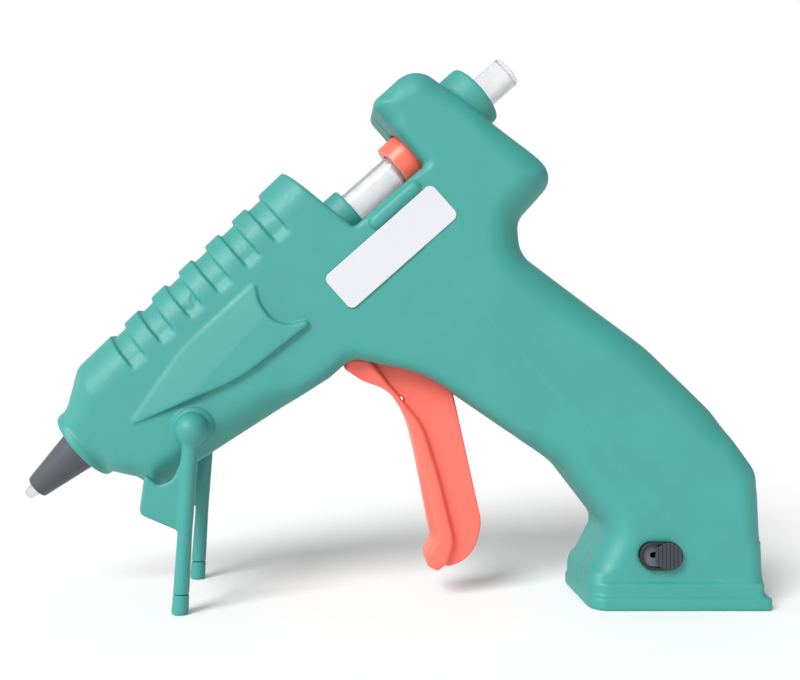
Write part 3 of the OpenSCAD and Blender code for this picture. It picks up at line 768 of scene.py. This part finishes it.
def make_nozzle():
    cover = rounded([
        [COVER_S, 2.9, 0.3], [COVER_S, 4.1, 0.8], [NOSE_S, 7.6, 0.4], [NOSE_S + 2.1, 7.6, 0.3],
        [NOSE_S + 2.1, 9.3, 0.3], [NOSE_S + 4.3, 9.3, 0.3], [NOSE_S + 4.3, 6.7, 0.3],
        [NOSE_S + 0.6, 6.7, 0.3], [NOSE_S - 1, 5.0, 0.3]
    ], 5)
    ring_piece("nozzle_sleeve", cover, nozzle_material, "nozzle_rubber", "nozzle_cover")
    tip = rounded_profile(
        [(TIP_S, 0), (TIP_S, 1.7), (COVER_S, 2.6), (NOSE_S - 1, 4.6), (NOSE_S + 1, 4.6),
         (NOSE_S + 1, 6.4), (NOSE_S + 5.8, 6.4), (NOSE_S + 5.8, 3), (-103, 3), (-103, 0)],
        [0, 0.35, 0.2, 0.3, 0.2, 0.3, 0.3, 0.2, 0.3, 0]
    )
    turned("nozzle_metal_tip", tip, tip_material, "casing", "nozzle_metal", "nozzle_tip")


def ring_piece(name, profile, material, slot, node, turns=96):
    """A hollow piece turned about the barrel's axis from a closed profile."""
    count = len(profile)
    points = []
    for s, radius in profile:
        for k in range(turns):
            points.append(turned_point(s, radius, 2 * math.pi * k / turns))
    rows = np.arange(count)[:, None]
    steps = np.arange(turns)[None, :]
    after_row = (rows + 1) % count
    after_step = (steps + 1) % turns
    faces = np.stack([
        rows * turns + steps, rows * turns + after_step,
        after_row * turns + after_step, after_row * turns + steps
    ], axis=-1).reshape(-1, 4)
    mesh_object(name, np.array(points), faces, material, "casing", slot, node)


def make_stick():
    front = STICK_REAR_S - STICK_LENGTH
    profile = rounded_profile(
        [(front, 0), (front, STICK_R), (STICK_REAR_S, STICK_R), (STICK_REAR_S, 0)], [0, 0.4, 0.5, 0]
    )
    turned("glue_stick_clear", profile, clear_material, "stick", "glue", "glue_stick")


def make_label():
    """A thin blank label with round corners, just under the window."""
    low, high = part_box("label_plate")
    length, height = 47.0, 14.0
    outline = rounded([
        on_barrel(3.3 + sx * length / 2, -19.1 + sn * height / 2, 2.2)
        for sx, sn in ((-1, -1), (1, -1), (1, 1), (-1, 1))
    ], 10)
    mesh = bmesh.new()
    ring = [mesh.verts.new((p[0] * MM, high[1], p[1] * MM)) for p in outline]
    mesh.faces.new(ring)
    made = bmesh.ops.extrude_face_region(mesh, geom=mesh.faces[:])
    moved = [v for v in made["geom"] if isinstance(v, bmesh.types.BMVert)]
    bmesh.ops.translate(mesh, verts=moved, vec=(0, low[1] - high[1], 0))
    front = [e for e in mesh.edges if all(v in set(moved) for v in e.verts)]
    bmesh.ops.bevel(mesh, geom=front, offset=0.12 * MM, segments=2, profile=0.5, affect="EDGES")
    bmesh.ops.recalc_face_normals(mesh, faces=mesh.faces)
    data = bpy.data.meshes.new("blank_label")
    mesh.to_mesh(data)
    mesh.free()
    piece = bpy.data.objects.new("blank_label", data)
    bpy.context.scene.collection.objects.link(piece)
    data.materials.append(label_material)
    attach(piece, "casing")
    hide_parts("label_plate")


make_nozzle()
make_stick()
make_label()


# ------------------------------------------------------------------ switch


TRAVEL = JOINTS["switch_slide"]["range_m"][1] / MM
NECK = 1.4


def make_switch():
    """The slide switch: a dark oval bezel and a round knob with upright ribs."""
    face_y = -18.9
    grid = Grid((SWITCH_X - 8, -20.2, SWITCH_Z - 5.5), (SWITCH_X + 8, -15.2, SWITCH_Z + 5.5), 0.2)
    x, y, z = grid.x, grid.y, grid.z
    tube = np.maximum(stadium(x, z, 13, 8.2), y - face_y - 3.4)
    flange = rounded_pair(stadium(x, z, 14.2, 9.4), np.abs(y - face_y + 0.7) - 0.3, 0.2)
    bezel = np.maximum(np.minimum(tube, flange), -(stadium(x, z, 11.8, 7.4) + 0 * y))
    bezel = np.maximum(bezel, face_y - 1.0 - y)
    points, faces = surface_of(bezel, grid)
    mesh_object("switch_surround", relaxed(points, faces, 1), faces, black_material,
                "casing", "dark_plastic", "switch_bezel")
    sill = np.maximum(stadium(x, z, 12.2, 7.8), np.abs(y - face_y - 1.2) - 0.4)
    sill = np.maximum(sill, -(stadium(x, z, NECK + TRAVEL + 0.4, NECK + 0.4) + 0 * y))
    points, faces = surface_of(sill, grid)
    mesh_object("switch_floor", relaxed(points, faces, 1), faces, sill_material,
                "casing", "dark_plastic", "switch_bezel")

    low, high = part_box("switch_knob")
    middle = (low + high) / 2 / MM
    grid = Grid((middle[0] - 4.6, -20.8, middle[2] - 4.6), (middle[0] + 4.6, -12, middle[2] + 4.6), 0.13)
    x, y, z = grid.x, grid.y, grid.z
    disc = np.hypot(x - middle[0], z - middle[2])
    ribs = 0.22 * np.cos(2 * math.pi * (x - middle[0]) / 1.25)
    knob = rounded_pair(disc - 4.5, np.maximum(-20.45 - ribs - y, y + 20.0), 0.15)
    neck = np.maximum(disc - NECK / 2, np.abs(y + 16.2) - 4.0)
    knob = np.minimum(knob, neck)
    points, faces = surface_of(knob, grid)
    mesh_object("switch_slider", relaxed(points, faces, 1), faces, dark_material,
                "switch", "dark_plastic", "switch_knob")


make_switch()


# ------------------------------------------- CAD nodes that keep their shape

FINISHES = {
    "casing_screws": steel_material, "melt_chamber": cast_material, "chamber_brackets": board_material,
    "heater": wrap_material, "heater_clip": steel_material, "inlet_sleeve": silicone_material,
    "thermal_fuse": steel_material, "lead_to_switch": live_material, "lead_to_fuse": live_material,
    "lead_to_heater": live_material, "lead_neutral": neutral_material, "power_inlet": dark_material,
    "inlet_pins": brass_material, "switch_housing": dark_material, "trigger_pin": steel_material,
    "trigger_spring": steel_material, "drive_pin": steel_material, "feed_carriage": carriage_material,
    "jaw_pin": steel_material, "grip_jaw": steel_material,
}
for node_name, finish in FINISHES.items():
    node_mesh = frame["nodes"][node_name].data
    node_mesh.materials.clear()
    node_mesh.materials.append(finish)


# ------------------------------------------------- floor, lights and camera


def make_floor():
    """A plain pale floor, far wider than the view."""
    mesh = bmesh.new()
    bmesh.ops.create_circle(mesh, cap_ends=True, radius=6, segments=128)
    data = bpy.data.meshes.new("floor")
    mesh.to_mesh(data)
    mesh.free()
    floor = bpy.data.objects.new("floor", data)
    bpy.context.scene.collection.objects.link(floor)
    material, node = shader("pale_floor", Roughness=0.9)
    pale = ramp(material, noise(material, 3), [(0.3, (0.94, 0.94, 0.94)), (0.7, (0.97, 0.97, 0.97))])
    material.node_tree.links.new(pale, node.inputs["Base Color"])
    data.materials.append(material)


def make_sun(direction, strength, softness):
    """A broad, distant light that shines along a direction."""
    data = bpy.data.lights.new("key", "SUN")
    data.energy = strength
    data.angle = math.radians(softness)
    lamp = bpy.data.objects.new("key", data)
    bpy.context.scene.collection.objects.link(lamp)
    lamp.rotation_mode = "QUATERNION"
    lamp.rotation_quaternion = Vector(direction).to_track_quat("-Z", "Y")


def make_studio():
    """A white surround that darkens overhead and on the right, as in a tent lit from the left."""
    world = bpy.data.worlds.new("studio")
    world.use_nodes = True
    nodes = world.node_tree.nodes
    links = world.node_tree.links
    place = nodes.new("ShaderNodeTexCoord")
    split = nodes.new("ShaderNodeSeparateXYZ")
    links.new(place.outputs["Generated"], split.inputs["Vector"])
    mix = nodes.new("ShaderNodeMix")
    mix.data_type = "RGBA"
    mix.blend_type = "MULTIPLY"
    mix.inputs[0].default_value = 1.0
    for axis, socket, start, stop, shade in (("Z", 6, 0.36, 0.6, 0.45), ("X", 7, 0.46, 0.66, 0.4)):
        fade = nodes.new("ShaderNodeValToRGB")
        fade.color_ramp.elements[0].position = start
        fade.color_ramp.elements[0].color = (1, 1, 1, 1)
        fade.color_ramp.elements[1].position = stop
        fade.color_ramp.elements[1].color = (shade, shade, shade, 1)
        links.new(split.outputs[axis], fade.inputs["Fac"])
        links.new(fade.outputs["Color"], mix.inputs[socket])
    links.new(mix.outputs[2], nodes["Background"].inputs["Color"])
    return world


def make_view():
    scene = bpy.context.scene
    scene.view_settings.view_transform = "Standard"
    scene.world = make_studio()
    make_sun((0.54, 0.67, -0.6), 3.2, 30)
    data = bpy.data.cameras.new("camera")
    data.sensor_width = 36
    data.lens = 45.02
    data.shift_x = 0.096
    data.shift_y = -0.0175
    data.clip_start = 0.01
    camera = bpy.data.objects.new("camera", data)
    camera.location = (-0.0216, -0.345, 0.0927)
    camera.rotation_euler = (math.radians(90), 0, 0)
    scene.collection.objects.link(camera)
    scene.camera = camera


make_floor()
make_view()
